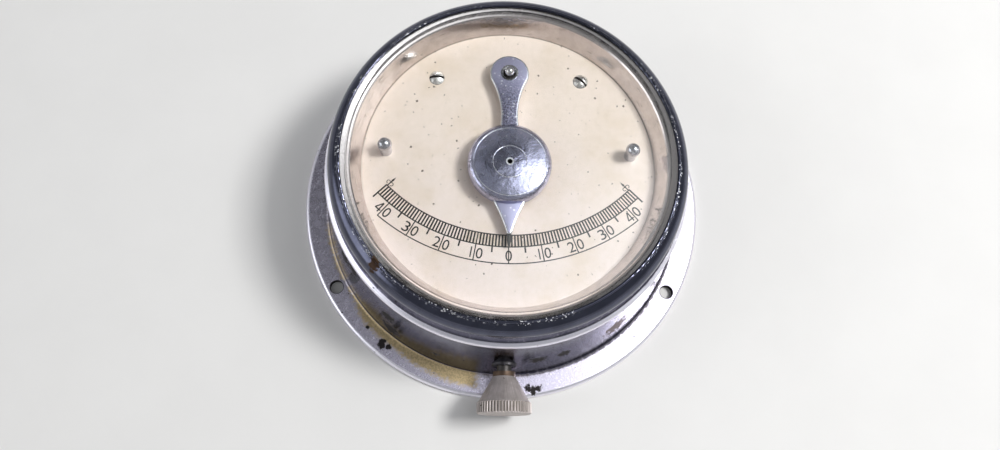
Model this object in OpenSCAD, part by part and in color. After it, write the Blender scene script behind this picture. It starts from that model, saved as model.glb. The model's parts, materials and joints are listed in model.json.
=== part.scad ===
// Pendulum clinometer in a round flanged case, lying on its back.
// Origin: middle of the flange's back face. +Z leaves through the glass, +Y points
// to the top of the dial, and the lock screw leaves the wall along -Y.

/* [Case] */
// Diameter of the mounting flange
flange_d = 140; // [130:1:160]
// Thickness of the mounting flange
flange_t = 2; // [1.6:0.1:2.6]
// Thickness of the case wall, measured level
wall_t = 1.8; // [1.4:0.1:2.2]
// Loss of the wall's radius from its foot to its rim
wall_taper = 5; // [3.5:0.1:6]
// Height of the dial's face above the mounting plane
dial_z = 35.1; // [33:0.1:43]

/* [Mounting holes] */
// Distance from the flange's edge to the middle of a hole
hole_inset = 4.2; // [3.5:0.1:4.5]
// Diameter of a mounting hole
hole_d = 4.5; // [3.5:0.1:5]
// Number of mounting holes, the first at the top
hole_count = 3; // [3:1:4]

/* [Glass and bezel] */
// Thickness of the glass
glass_t = 2.6; // [2.2:0.1:3.4]
// Width of the bevel on the glass
bevel_w = 2.95; // [2.2:0.05:3.2]
// Height of the bevel on the glass
bevel_h = 1.5; // [1:0.1:1.6]

/* [Dial] */
// Thickness of the dial plate
dial_t = 1.2; // [1:0.1:1.6]
// Sideways distance of a dial screw from the middle
dial_screw_x = 23.6; // [20:0.2:27]
// Head diameter of a dial screw
dial_screw_d = 4.9; // [4:0.1:5.4]
// Sideways distance of a stop post from the middle
stop_x = 38.9; // [38:0.1:40]
// Height of the stop posts above the dial's middle
stop_y = 3.4; // [2.5:0.1:4.5]
// Diameter of a stop post's ball
stop_ball_d = 4.5; // [4:0.1:4.8]

/* [Pendulum] */
// Distance of the pivot from the dial's middle
pivot_y = 30; // [29:0.1:30.6]
// Diameter of the arbor
arbor_d = 3; // [2.6:0.1:3.4]
// Diameter of the arm's eye
eye_d = 12.7; // [11.7:0.1:14]
// Width of the arm's neck
neck_w = 5.5; // [4.6:0.1:6.2]
// Thickness of the arm
arm_t = 2; // [1.6:0.1:2.2]
// Distance from the pivot to the middle of the bob
bob_drop = 31.9; // [31:0.1:32.4]
// Diameter of the bob
bob_d = 26.3; // [23:0.1:26.6]
// Thickness of the bob
bob_t = 3.5; // [3:0.1:3.8]
// Distance from the pivot to the end of the index tip
index_reach = 58; // [57:0.1:59.5]

/* [Lock screw] */
// Height of the screw's axis above the mounting plane
lock_z = 11.5; // [11.5:0.1:13]
// Diameter of the threaded stem
stem_d = 4.7; // [4:0.1:5]
// Gap between the wall and the collar when the pendulum is free
collar_gap = 2.1; // [2.1:0.1:2.6]
// Diameter of the knob over its knurled rim
knob_d = 17.5; // [16:0.1:18.4]
// Number of grooves in the knurl
knurl_count = 54; // [40:1:64]

/* [Hidden] */

$fn = 96;
far = 200;

// Colours
chrome_col = [0.72, 0.73, 0.77];
polished_col = [0.62, 0.64, 0.72];
brass_col = [0.72, 0.58, 0.33];
copper_col = [0.62, 0.42, 0.3];
cream_col = [0.93, 0.88, 0.79];
glass_col = [0.8, 0.9, 0.9, 0.3];
dark_col = [0.12, 0.12, 0.13];
steel_col = [0.6, 0.6, 0.6];
nickel_col = [0.66, 0.63, 0.58];

// Case, from the outside in
flange_r = flange_d / 2;
flange_edge_r = flange_t / 2;
foot_r = flange_r - 8.05;
foot_fillet = 1.2;
neck_r = foot_r - wall_taper;
spigot_r = neck_r - 2.8;
shoulder_r = spigot_r + 1.5;
bore_r = spigot_r - 3;
recess_r = foot_r - 2.8;
recess_h = 1;
back_t = 1.8;
back_top = recess_h + back_t;
rim_z = dial_z - 3.9;
bead_r = 1.3;
bead_x = neck_r + 0.1;
bead_z = rim_z + 1.6;
bead_flat = 1.15;
cove_r = 2.9;
cove_x = shoulder_r + cove_r;
cove_z = bead_z + sqrt(pow(cove_r + bead_r, 2) - pow(cove_x - bead_x, 2));
cove_meet_x = bead_x + bead_r * (cove_x - bead_x) / (cove_r + bead_r);
shoulder_z = cove_z;
spigot_top = dial_z + 5.9;
bore_flare = 3.4;
hole_pcd = flange_d - 2 * hole_inset;

function wall_r(z) = foot_r - wall_taper * (z - flange_t) / (rim_z - flange_t);

// Glass stack: reflector flange, gasket, glass
sheet_t = 0.8;
gasket_t = 0.6;
gasket_w = 0.9;
seat_r = spigot_r - 1;
glass_r = seat_r - 0.2;
glass_bottom = spigot_top + sheet_t + gasket_t;
glass_top = glass_bottom + glass_t;
bevel_in_r = glass_r - bevel_w;

function bevel_z(r) = glass_top - bevel_h * (r - bevel_in_r) / bevel_w;

// Bezel: one large round and a small bright lip
thread_gap = 0.05;
lip_r = seat_r - 1.15;
bezel_x = lip_r - 0.25;
bezel_z = dial_z + 4.6;
bezel_round = glass_top - 0.7 - bezel_z;
lip_bead_r = 0.5;
lip_bead_z = glass_top - 0.85;

// Dial and what stands on it
dial_back = dial_z - dial_t;
dial_r = bore_r - 2.9;
reflector_foot_r = dial_r - 1.7;
reflector_lean = 2.6;
pillar_r = 3;
tap_r = 1.4;
dial_screw_y = 29.6;
screw_grip = 8;
left_slot_turn = 0;
right_slot_turn = -40;
head_h = 1.2;
head_dome = 3.2;
slot_w = 0.8;
slot_h = 0.6;
csk_r = 2.8;
csk_h = 1.4;
stop_stem_r = 1.95;
stop_ball_z = dial_z + 4.75;

// Bearings
running_gap = 0.04;
arbor_r = arbor_d / 2;
bush_r = 3.5;
boss_r = 6.5;
boss_top = 6;
rear_bush_top = 8;
bush_floor = 0.8;
end_play = 0.3;
bush_flange_r = 4.5;
bush_flange_t = 1.2;
bush_proud = 0.6;
washer_r = 3;
washer_t = 0.4;

// Pendulum levels
arm_front = dial_z + 4;
arm_back = arm_front - arm_t;
arm_bush_r = 2.85;
arm_bush_seat_r = 4;
arm_bush_back = dial_z + bush_proud + washer_t + end_play;
arm_bush_proud = 0.2;
arm_csk_r = 2.5;
arm_csk_h = 0.9;
arbor_end = arm_front + 0.9;
bob_front = dial_z + 6.3;
bob_back = bob_front - bob_t;
bob_round = 1.8;
scribe_small = 5.25;
scribe_large = 11.25;
scribe_w = 0.34;
rivet_r = 1.25;
rivet_bore = 0.8;
rivet_head_r = 2;
rivet_head_h = 0.6;
index_t = 0.6;

// Pendulum outline, measured down from the pivot; the neck's arcs run a little into the eye
eye_r = eye_d / 2;
neck_drop = 15;
neck_bite = 0.3;
neck_rise = pow(neck_drop, 2) + pow(neck_w / 2, 2) - pow(eye_r, 2);
neck_curve = neck_bite + neck_rise / (2 * (eye_r - neck_w / 2));
neck_x = (neck_w / 2 + neck_curve) * eye_r / (eye_r + neck_curve);
neck_top = neck_drop * eye_r / (eye_r + neck_curve);
shank_w = neck_w + 0.4;
pointer_w = 9.6;
pointer_drop = bob_drop + 12.6;
pointer_end_w = 1.4;
pointer_end = pointer_drop + 10.2;
pointer_curve = 49;
index_w = 1.3;
index_end_w = 0.5;
index_taper = 1.9;
index_grip = 5;

// Lock arm behind the dial
lock_reach = foot_r + 8.6;
lock_arm_t = 2;
lock_eye_r = 6.5;
lock_foot_w = 9.2;
lock_foot_h = 10;
lock_slot_gap = 0.2;
lock_slot_h = 6;
lock_slot_mouth = 0.4;
hub_r = 5;
hub_h = 5;
hub_spigot_r = 3.5;
hub_screw_r = 1.25;
hub_screw_z = lock_z + 3.5;

// Lock screw along -Y
lock_bush_r = 4.1;
lock_boss_r = 7.5;
lock_boss_in = 3.7;
lock_nut_af = 12;
lock_nut_t = 2.2;
stem_r = stem_d / 2;
collar_r = 3.6;
collar_t = 1.5;
collar_y = -(wall_r(lock_z) + collar_gap);
knob_y = collar_y - collar_t;
knob_r = knob_d / 2;
knob_neck_r = 3.6;
cone_h = 8;
rim_h = 3.7;
rim_step = 0.5;
rim_chamfer = 0.35;
knurl_r = 0.42;
knurl_out = 0.12;
stem_grip = 9;
tip_gap = 0.35;
tip_y = pivot_y - lock_reach - tip_gap;
tip_r = 1.5;
tip_end_r = 0.4;
tip_cone = 1.05;
tip_head = 2.4;
tip_neck_r = 0.95;
ball_r = 1.4;
ball_gap = 0.05;
ball_y = tip_y - 4.45;
socket_lip = 0.75;
boss_y = -(wall_r(lock_z) - lock_boss_in);

// A solid whose axis runs along -Y from the point y at the lock screw's height
module along_lock(y) {
    translate([0, y, lock_z])
        rotate([90, 0, 0])
            children();
}

module pillar_places() {
    for (side = [-1, 1]) {
        translate([side * dial_screw_x, dial_screw_y, 0])
            children();
        translate([side * stop_x, stop_y, 0])
            children();
    }
}

// Half section of the case without its bosses
module case_section() {
    difference() {
        union() {
            polygon([
                [0, recess_h], [recess_r, recess_h], [recess_r, 0],
                [flange_r - flange_edge_r, 0], [flange_r - flange_edge_r, flange_t],
                [foot_r, flange_t], [neck_r, rim_z],
                [bead_x + bead_flat, rim_z + 0.2], [bead_x + bead_flat, bead_z],
                [shoulder_r, bead_z], [shoulder_r, shoulder_z], [spigot_r, shoulder_z],
                [spigot_r, spigot_top], [0, spigot_top]
            ]);
            translate([flange_r - flange_edge_r, flange_edge_r])
                circle(r = flange_edge_r);
            translate([foot_r - 1, flange_t])
                square([wall_r(flange_t + foot_fillet) + foot_fillet - foot_r + 1, foot_fillet]);
            translate([bead_x, bead_z])
                circle(r = bead_r);
            translate([spigot_r, bead_z])
                square([cove_meet_x - spigot_r, shoulder_z - bead_z]);
        }
        translate([wall_r(flange_t + foot_fillet) + foot_fillet, flange_t + foot_fillet])
            circle(r = foot_fillet);
        translate([cove_x, cove_z])
            circle(r = cove_r);
        polygon([
            [-1, back_top], [wall_r(back_top) - wall_t, back_top],
            [wall_r(rim_z - 2) - wall_t, rim_z - 2],
            [bore_r, rim_z - 2 + bore_flare], [bore_r, spigot_top + 1], [-1, spigot_top + 1]
        ]);
    }
}

module case_body() {
    color(chrome_col)
    difference() {
        union() {
            rotate_extrude()
                case_section();
            translate([0, pivot_y, back_top - 0.5])
                cylinder(r = boss_r, h = boss_top - back_top + 0.5);
            intersection() {
                along_lock(boss_y)
                    cylinder(r = lock_boss_r, h = lock_boss_in + 2);
                rotate_extrude()
                    polygon([
                        [0, back_top], [wall_r(back_top) - wall_t / 2, back_top],
                        [wall_r(rim_z) - wall_t / 2, rim_z], [0, rim_z]
                    ]);
            }
        }
        for (i = [0 : hole_count - 1])
            rotate([0, 0, 90 + i * 360 / hole_count])
                translate([hole_pcd / 2, 0, -1])
                    cylinder(d = hole_d, h = flange_t + 2);
        translate([0, pivot_y, back_top])
            cylinder(r = bush_r, h = boss_top);
        pillar_places() {
            translate([0, 0, recess_h - 1])
                cylinder(r = tap_r, h = back_t + 2);
            translate([0, 0, recess_h])
                cylinder(r1 = csk_r, r2 = tap_r, h = csk_h);
        }
        along_lock(-bore_r + 5)
            cylinder(r = lock_bush_r, h = 20);
    }
}

module bezel_ring() {
    color(polished_col)
    rotate_extrude()
        intersection() {
            union() {
                translate([bezel_x, bezel_z])
                    circle(r = bezel_round);
                translate([lip_r + lip_bead_r, lip_bead_z])
                    circle(r = lip_bead_r);
            }
            polygon([
                [lip_r, bevel_z(lip_r)], [seat_r, bevel_z(seat_r)],
                [seat_r, spigot_top + 0.1], [spigot_r + thread_gap, spigot_top + 0.1],
                [spigot_r + thread_gap, shoulder_z], [far, shoulder_z],
                [far, glass_top + 5], [lip_r, glass_top + 5]
            ]);
        }
}

module glass() {
    color(glass_col)
    rotate_extrude()
        polygon([
            [0, glass_bottom], [glass_r, glass_bottom], [glass_r, glass_top - bevel_h],
            [bevel_in_r, glass_top], [0, glass_top]
        ]);
}

module glass_gasket() {
    color(dark_col)
    translate([0, 0, glass_bottom - gasket_t])
        difference() {
            cylinder(r = glass_r, h = gasket_t);
            translate([0, 0, -1])
                cylinder(r = glass_r - gasket_w, h = gasket_t + 2);
        }
}

// Thin polished ring that flares from the dial to the glass
module reflector_ring() {
    foot = reflector_foot_r;
    lean = reflector_lean;
    top = spigot_top + sheet_t;
    color(chrome_col)
    rotate_extrude()
        polygon([
            [foot, dial_z], [foot + lean, top - 0.6], [foot + lean + 0.4, top - 0.2],
            [foot + lean + 1, top], [glass_r, top], [glass_r, spigot_top],
            [foot + lean + sheet_t, spigot_top], [foot + sheet_t, dial_z]
        ]);
}

module dial_plate() {
    color(cream_col)
    difference() {
        translate([0, 0, dial_back])
            cylinder(r = dial_r, h = dial_t);
        translate([0, pivot_y, dial_back - 1])
            cylinder(r = bush_r, h = dial_t + 2);
        pillar_places()
            translate([0, 0, dial_back - 1])
                cylinder(r = tap_r, h = dial_t + 2);
    }
}

module dial_pillars() {
    color(brass_col)
    pillar_places()
        translate([0, 0, back_top])
            difference() {
                cylinder(r = pillar_r, h = dial_back - back_top);
                translate([0, 0, -1])
                    cylinder(r = tap_r, h = dial_back);
            }
}

module screw_slot(w, h, turn) {
    rotate([0, 0, turn])
        translate([-10, -w / 2, 0])
            cube([20, w, h]);
}

// Countersunk screws that enter the pillars from the back
module pillar_screws() {
    color(steel_col)
    pillar_places()
        translate([0, 0, recess_h])
            difference() {
                union() {
                    cylinder(r1 = csk_r, r2 = tap_r, h = csk_h);
                    cylinder(r = tap_r, h = back_t + screw_grip);
                }
                translate([0, 0, -1])
                    screw_slot(slot_w, 1 + slot_h, 35);
            }
}

module dial_screw(turn) {
    head_r = dial_screw_d / 2;
    difference() {
        union() {
            intersection() {
                cylinder(r = head_r, h = head_h);
                translate([0, 0, head_h - head_dome])
                    sphere(r = head_dome);
            }
            translate([0, 0, -screw_grip])
                cylinder(r = tap_r, h = screw_grip + 0.2);
        }
        translate([0, 0, head_h - slot_h])
            screw_slot(slot_w, 2, turn);
    }
}

module dial_screws() {
    color(steel_col) {
        translate([-dial_screw_x, dial_screw_y, dial_z])
            dial_screw(left_slot_turn);
        translate([dial_screw_x, dial_screw_y, dial_z])
            dial_screw(right_slot_turn);
    }
}

// Ball-headed stop; its shank screws into the pillar below the dial
module stop_post(side) {
    color(polished_col)
    translate([side * stop_x, stop_y, 0]) {
        translate([0, 0, dial_z - screw_grip])
            cylinder(r = tap_r, h = screw_grip + 1);
        translate([0, 0, dial_z])
            cylinder(r = stop_stem_r, h = stop_ball_z - dial_z);
        translate([0, 0, stop_ball_z])
            sphere(d = stop_ball_d);
    }
}

module stop_post_left() {
    stop_post(-1);
}

module stop_post_right() {
    stop_post(1);
}

// Blind bearing in the case back
module rear_bush() {
    color(brass_col)
    translate([0, pivot_y, back_top])
        difference() {
            cylinder(r = bush_r, h = rear_bush_top - back_top);
            translate([0, 0, bush_floor])
                cylinder(r = arbor_r + running_gap, h = rear_bush_top);
        }
}

module front_bush() {
    color(brass_col)
    translate([0, pivot_y, dial_back])
        difference() {
            union() {
                cylinder(r = bush_r, h = dial_t + bush_proud);
                translate([0, 0, -bush_flange_t])
                    cylinder(r = bush_flange_r, h = bush_flange_t);
            }
            translate([0, 0, -bush_flange_t - 1])
                cylinder(r = arbor_r + running_gap, h = 10);
        }
}

module thrust_washer() {
    color(steel_col)
    translate([0, pivot_y, dial_z + bush_proud])
        difference() {
            cylinder(r = washer_r, h = washer_t);
            translate([0, 0, -1])
                cylinder(r = arbor_r + 2 * running_gap, h = washer_t + 2);
        }
}

module arbor() {
    arbor_back = back_top + bush_floor + end_play;
    color(steel_col)
    translate([0, pivot_y, 0]) {
        translate([0, 0, arbor_back])
            cylinder(r = arbor_r, h = arbor_end - arbor_back);
        translate([0, 0, arbor_end])
            sphere(r = arbor_r);
    }
}

module arm_bush() {
    color(nickel_col)
    translate([0, pivot_y, 0])
        difference() {
            union() {
                translate([0, 0, arm_bush_back])
                    cylinder(r = arm_bush_r, h = arm_front + arm_bush_proud - arm_bush_back);
                translate([0, 0, arm_bush_back])
                    cylinder(r = arm_bush_seat_r, h = arm_back - arm_bush_back);
            }
            cylinder(r = arbor_r, h = far);
            translate([0, 0, arm_front + arm_bush_proud - arm_csk_h])
                cylinder(r1 = arbor_r, r2 = arm_csk_r, h = arm_csk_h);
        }
}

// Circle that hollows the pointer's right side, through both ends of that side
module pointer_hollow() {
    top = [pointer_w / 2, -pointer_drop];
    end = [pointer_end_w / 2, -pointer_end];
    chord = norm(end - top);
    out = [top[1] - end[1], end[0] - top[0]] / chord;
    reach = sqrt(pow(pointer_curve, 2) - pow(chord / 2, 2));
    translate((top + end) / 2 + out * reach)
        circle(r = pointer_curve, $fn = 360);
}

// Outline of the arm below its eye, with the pivot at the origin
module shank_outline() {
    difference() {
        polygon([
            [-neck_x, 1 - neck_top], [neck_x, 1 - neck_top],
            [neck_x, -neck_drop], [shank_w / 2, -neck_drop],
            [shank_w / 2, -bob_drop + 2], [pointer_w / 2, -pointer_drop + 4],
            [pointer_w / 2, -pointer_drop], [pointer_end_w / 2, -pointer_end],
            [-pointer_end_w / 2, -pointer_end], [-pointer_w / 2, -pointer_drop],
            [-pointer_w / 2, -pointer_drop + 4], [-shank_w / 2, -bob_drop + 2],
            [-shank_w / 2, -neck_drop], [-neck_x, -neck_drop]
        ]);
        for (side = [0, 1])
            mirror([side, 0]) {
                translate([neck_w / 2 + neck_curve, -neck_drop])
                    circle(r = neck_curve, $fn = 240);
                pointer_hollow();
            }
    }
}

module pendulum_arm() {
    color(polished_col)
    translate([0, pivot_y, arm_back])
        difference() {
            union() {
                cylinder(r = eye_r, h = arm_t);
                linear_extrude(arm_t)
                    shank_outline();
            }
            translate([0, 0, -1])
                cylinder(r = arm_bush_r, h = arm_t + 2);
            translate([0, -bob_drop, -1])
                cylinder(r = rivet_r, h = arm_t + 2);
        }
}

module index_tip() {
    color(dark_col)
    translate([0, pivot_y, arm_back - index_t])
        linear_extrude(index_t)
            polygon([
                [-index_w / 2, -pointer_end + index_grip], [index_w / 2, -pointer_end + index_grip],
                [index_w / 2, -index_reach + index_taper], [index_end_w / 2, -index_reach],
                [-index_end_w / 2, -index_reach], [-index_w / 2, -index_reach + index_taper]
            ]);
}

module scribed_circle(r) {
    rotate_extrude()
        polygon([
            [r - scribe_w / 2, bob_t + 0.01], [r + scribe_w / 2, bob_t + 0.01],
            [r, bob_t - scribe_w / 2]
        ]);
}

// Weight with a rounded front edge, grooved at the back to sit on the arm
module bob() {
    bob_r = bob_d / 2;
    color(polished_col)
    difference() {
        translate([0, pivot_y - bob_drop, bob_back])
            difference() {
                rotate_extrude()
                    union() {
                        square([bob_r - bob_round, bob_t]);
                        square([bob_r, bob_t - bob_round]);
                        translate([bob_r - bob_round, bob_t - bob_round])
                            circle(r = bob_round);
                    }
                translate([0, 0, -1])
                    cylinder(r = rivet_r, h = bob_t + 2);
                scribed_circle(scribe_small);
                scribed_circle(scribe_large);
            }
        translate([0, pivot_y, bob_back - 1])
            linear_extrude(arm_front - bob_back + 1)
                shank_outline();
    }
}

module bob_rivet() {
    color(chrome_col)
    translate([0, pivot_y - bob_drop, 0])
        difference() {
            union() {
                translate([0, 0, arm_back - rivet_head_h])
                    cylinder(r = rivet_head_r, h = rivet_head_h);
                translate([0, 0, arm_back - rivet_head_h])
                    cylinder(r = rivet_r, h = bob_front + 0.05 - arm_back + rivet_head_h);
            }
            cylinder(r = rivet_bore, h = far);
        }
}

// Arm behind the dial; the lock screw's tip enters the slot at its end
module lock_arm_bar() {
    shank_end = lock_foot_h + 4 - lock_reach;
    polygon([
        [-3.2, 0], [3.2, 0], [2.4, shank_end],
        [lock_foot_w / 2, lock_foot_h - lock_reach], [lock_foot_w / 2, -lock_reach - 1],
        [-lock_foot_w / 2, -lock_reach - 1], [-lock_foot_w / 2, lock_foot_h - lock_reach],
        [-2.4, shank_end]
    ]);
}

module lock_slot() {
    half_w = tip_r + lock_slot_gap;
    mouth_w = half_w + lock_slot_mouth;
    polygon([
        [-half_w, lock_slot_h - lock_reach], [half_w, lock_slot_h - lock_reach],
        [half_w, lock_slot_mouth - lock_reach], [mouth_w, -lock_reach],
        [mouth_w, -lock_reach - 2], [-mouth_w, -lock_reach - 2],
        [-mouth_w, -lock_reach], [-half_w, lock_slot_mouth - lock_reach]
    ]);
}

module lock_arm() {
    color(brass_col)
    translate([0, pivot_y, lock_z - lock_arm_t / 2])
        difference() {
            union() {
                cylinder(r = lock_eye_r, h = lock_arm_t);
                intersection() {
                    linear_extrude(lock_arm_t)
                        lock_arm_bar();
                    translate([0, 0, -1])
                        cylinder(r = lock_reach, h = lock_arm_t + 2);
                }
            }
            translate([0, 0, -1])
                cylinder(r = hub_spigot_r, h = lock_arm_t + 2);
            translate([0, 0, -1])
                linear_extrude(lock_arm_t + 2)
                    lock_slot();
        }
}

module lock_hub() {
    hub_base = lock_z + lock_arm_t / 2;
    color(brass_col)
    translate([0, pivot_y, 0])
        difference() {
            union() {
                translate([0, 0, hub_base])
                    cylinder(r = hub_r, h = hub_h);
                translate([0, 0, hub_base - lock_arm_t])
                    cylinder(r = hub_spigot_r, h = lock_arm_t + 1);
            }
            cylinder(r = arbor_r, h = far);
            translate([0, 0, hub_screw_z])
                rotate([-90, 0, 0])
                    cylinder(r = hub_screw_r, h = far);
        }
}

module hub_screw() {
    grip = hub_r - arbor_r - 0.3;
    color(steel_col)
    translate([0, pivot_y + arbor_r + 0.1, hub_screw_z])
        rotate([-90, 0, 0])
            difference() {
                cylinder(r = hub_screw_r, h = grip);
                translate([0, 0, grip - slot_h])
                    screw_slot(slot_w / 2, 2, 0);
            }
}

module lock_bush() {
    front_y = -wall_r(lock_z) - 0.15;
    back_y = boss_y + lock_nut_t + 0.4;
    color(brass_col)
    along_lock(back_y)
        difference() {
            cylinder(r = lock_bush_r, h = back_y - front_y);
            translate([0, 0, -1])
                cylinder(r = stem_r + running_gap, h = far);
        }
}

module lock_nut() {
    corner_r = lock_nut_af / sqrt(3);
    color(brass_col)
    along_lock(boss_y + lock_nut_t)
        difference() {
            linear_extrude(lock_nut_t)
                polygon([for (i = [0 : 5]) corner_r * [cos(60 * i), sin(60 * i)]]);
            translate([0, 0, -1])
                cylinder(r = lock_bush_r, h = lock_nut_t + 2);
        }
}

// Swivel tip: a ball held in the stem's end, a neck, a head and a cone
module lock_tip() {
    head_y = tip_y - tip_cone - tip_head;
    color(steel_col) {
        along_lock(ball_y)
            sphere(r = ball_r);
        along_lock(head_y + 0.2)
            cylinder(r = tip_neck_r, h = head_y + 0.2 - ball_y);
        along_lock(head_y + tip_head)
            cylinder(r = tip_r, h = tip_head);
        along_lock(tip_y)
            cylinder(r1 = tip_end_r, r2 = tip_r, h = tip_cone);
    }
}

module lock_stem() {
    front_y = ball_y + socket_lip;
    color(steel_col)
    difference() {
        along_lock(front_y)
            cylinder(r = stem_r, h = front_y - knob_y + stem_grip);
        along_lock(ball_y)
            sphere(r = ball_r + ball_gap);
    }
}

module knob_collar() {
    color(copper_col)
    along_lock(collar_y)
        difference() {
            cylinder(r = collar_r, h = collar_t);
            translate([0, 0, -1])
                cylinder(r = stem_r, h = collar_t + 2);
        }
}

module knurl_outline() {
    difference() {
        circle(r = knob_r, $fn = 180);
        for (i = [0 : knurl_count - 1])
            rotate(i * 360 / knurl_count)
                translate([knob_r + knurl_out, 0])
                    circle(r = knurl_r, $fn = 16);
    }
}

// Cone that widens to a rim with a straight knurl
module lock_knob() {
    rim_end = cone_h + rim_h;
    color(nickel_col)
    along_lock(knob_y)
        difference() {
            union() {
                cylinder(r1 = knob_neck_r, r2 = knob_r - rim_step, h = cone_h);
                intersection() {
                    translate([0, 0, cone_h])
                        linear_extrude(rim_h)
                            knurl_outline();
                    rotate_extrude()
                        polygon([
                            [0, cone_h], [knob_r - rim_chamfer, cone_h], [knob_r, cone_h + rim_chamfer],
                            [knob_r, rim_end - rim_chamfer], [knob_r - rim_chamfer, rim_end], [0, rim_end]
                        ]);
                }
            }
            translate([0, 0, -1])
                cylinder(r = stem_r, h = stem_grip + 1);
        }
}

case_body();
bezel_ring();
glass();
glass_gasket();
reflector_ring();
dial_plate();
dial_pillars();
pillar_screws();
dial_screws();
stop_post_left();
stop_post_right();
rear_bush();
front_bush();
thrust_washer();
arbor();
arm_bush();
pendulum_arm();
index_tip();
bob();
bob_rivet();
lock_arm();
lock_hub();
hub_screw();
lock_bush();
lock_nut();
lock_tip();
lock_stem();
knob_collar();
lock_knob();
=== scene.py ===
"""Looks of a pendulum clinometer: dial print, bevelled pendulum, plating, glass, light and camera."""

import json
import math

import bpy
from mathutils import Matrix, Vector


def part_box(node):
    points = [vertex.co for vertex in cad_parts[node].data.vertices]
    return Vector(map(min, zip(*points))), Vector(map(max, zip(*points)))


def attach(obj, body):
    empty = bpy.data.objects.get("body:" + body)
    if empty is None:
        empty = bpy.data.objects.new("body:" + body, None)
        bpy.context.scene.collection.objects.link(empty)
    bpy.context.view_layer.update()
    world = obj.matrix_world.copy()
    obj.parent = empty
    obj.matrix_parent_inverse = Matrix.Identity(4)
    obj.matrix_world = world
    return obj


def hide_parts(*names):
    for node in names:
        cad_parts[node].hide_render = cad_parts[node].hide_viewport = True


bl_info = {
    "name": "Pendulum clinometer",
    "version": (1, 0, 0),
    "blender": (4, 5, 0),
    "location": "View3D > Sidebar > Clinometer",
    "description": "Prints the dial, bevels the pendulum and finishes a flanged clinometer",
    "category": "Object",
}

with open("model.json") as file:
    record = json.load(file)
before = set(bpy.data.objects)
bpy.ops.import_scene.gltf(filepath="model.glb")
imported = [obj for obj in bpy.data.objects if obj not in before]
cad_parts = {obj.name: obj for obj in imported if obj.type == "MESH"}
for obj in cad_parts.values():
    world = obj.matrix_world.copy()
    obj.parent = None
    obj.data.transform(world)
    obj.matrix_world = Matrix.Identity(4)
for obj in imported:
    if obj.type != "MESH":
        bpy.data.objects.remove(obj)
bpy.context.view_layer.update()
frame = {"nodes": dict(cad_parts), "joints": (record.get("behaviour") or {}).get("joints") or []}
NODES = frame["nodes"]
DIAL_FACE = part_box("dial_plate")[1].z
ARM_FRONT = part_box("pendulum_arm")[1].z
BOB_Y = (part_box("bob")[0].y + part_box("bob")[1].y) / 2
PIVOT_Y = next(j["pos_m"][1] for j in frame["joints"] if j["name"] == "pendulum_swing")
MM = 0.001

# Places in the CAD's source that the frame doesn't carry, in millimetres
HOLE_R = 65.8
HOLE_TURNS = (90, -30, -150)
REFLECTOR_FOOT = 46.55
SLOT_HALF = 0.4
LOCK_AXIS = (0, 0, 11.5)
DIAL_SCREWS = (((-23.6, 29.6, 0), 0), ((23.6, 29.6, 0), math.radians(-40)))

# Print: angles in degrees from straight down, widths as a share of a digit's height
BAND_END = 45.15
OUTER_ARC_END = 40.1
ORNAMENT_AT = 44.7
LAST_DEGREE = 45
ARC_STEPS = 120
CAP_HEIGHT = 0.73
DIGIT_WIDTH = {"0": 0.6, "2": 0.62, "3": 0.62}
DIGIT_BAR = 0.12
TENS_SHIFT = {1: 0.32, 2: 0.42, 3: 0.42, 4: 0.42}
ZERO_SHIFT = 0.45
DIGIT_DROP = 0.05

# Meshes and stage
MERGE = 1e-6
SHARP_EDGE = math.radians(60)
SMOOTH_UP_TO = math.radians(25)
FLAT_WITHIN = math.radians(0.5)
ON_FRONT_FACE = 0.01 * MM
CLEAR_OF_BUSH = 0.6 * MM
CLEAR_OF_RIVET = 3 * MM
FLOOR_SIZE = 3
FLOOR_DROP = 0.05 * MM
SENSOR_WIDTH = 36
NEAREST_SEEN = 0.01
SOFTBOX_SIZE = (0.24, 0.24)
SOFTBOX_AT = (0.60, 0.04, 0.84)
SOFTBOX_AIM = (0, 0, 0.03)


def length(name, text, default_mm):
    """A size property, given in millimetres and kept in metres."""
    return bpy.props.FloatProperty(
        name=name, description=text, default=default_mm * MM, min=0, unit="LENGTH", precision=5)


def colour(name, text, default):
    """A colour property in linear light."""
    return bpy.props.FloatVectorProperty(
        name=name, description=text, default=default, size=3, min=0, max=1, subtype="COLOR")


def angle(name, text, degrees):
    """An angle property, given in degrees."""
    return bpy.props.FloatProperty(
        name=name, description=text, default=math.radians(degrees), unit="ROTATION")


class ClinometerPrint(bpy.types.PropertyGroup):
    """Sizes and ink of the dial's printing."""
    band_inner: length("Band inner radius", "Radius of the band's inner line about the pivot", 53.9)
    band_outer: length("Band outer radius", "Radius of the band's outer line about the pivot", 57.65)
    outer_arc: length("Outer arc radius", "Radius of the thin arc outside the numerals", 62.95)
    line: length("Heavy line", "Width of the band's two lines", 0.40)
    tick: length("Degree line", "Width of the degree and five-degree lines", 0.52)
    thin_line: length("Thin line", "Width of the outer arc and the ten-degree lines", 0.36)
    stroke: length("Extra stroke", "How much a numeral's outline is pushed outwards", 0.012)
    short_tick: length("Short tick", "How far a five-degree tick runs out of the band", 2.0)
    digit: length("Digit height", "Height of a numeral", 3.4)
    spear: length("Spear length", "Length of the pointed ornament at the band's ends", 3.7)
    film: length("Ink film", "Thickness of the print", 0.02)
    ink: colour("Ink", "Colour of the printing ink", (0.012, 0.009, 0.009))


class ClinometerPendulum(bpy.types.PropertyGroup):
    """Bevel and metal of the pendulum."""
    bevel: length("Arm bevel", "Width of the polished bevel round the arm's front face", 0.6)
    satin: colour("Satin plate", "Colour of the arm's dull face", (0.33, 0.325, 0.45))
    polished: colour("Polished plate", "Colour of the bob", (0.56, 0.565, 0.74))


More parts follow.
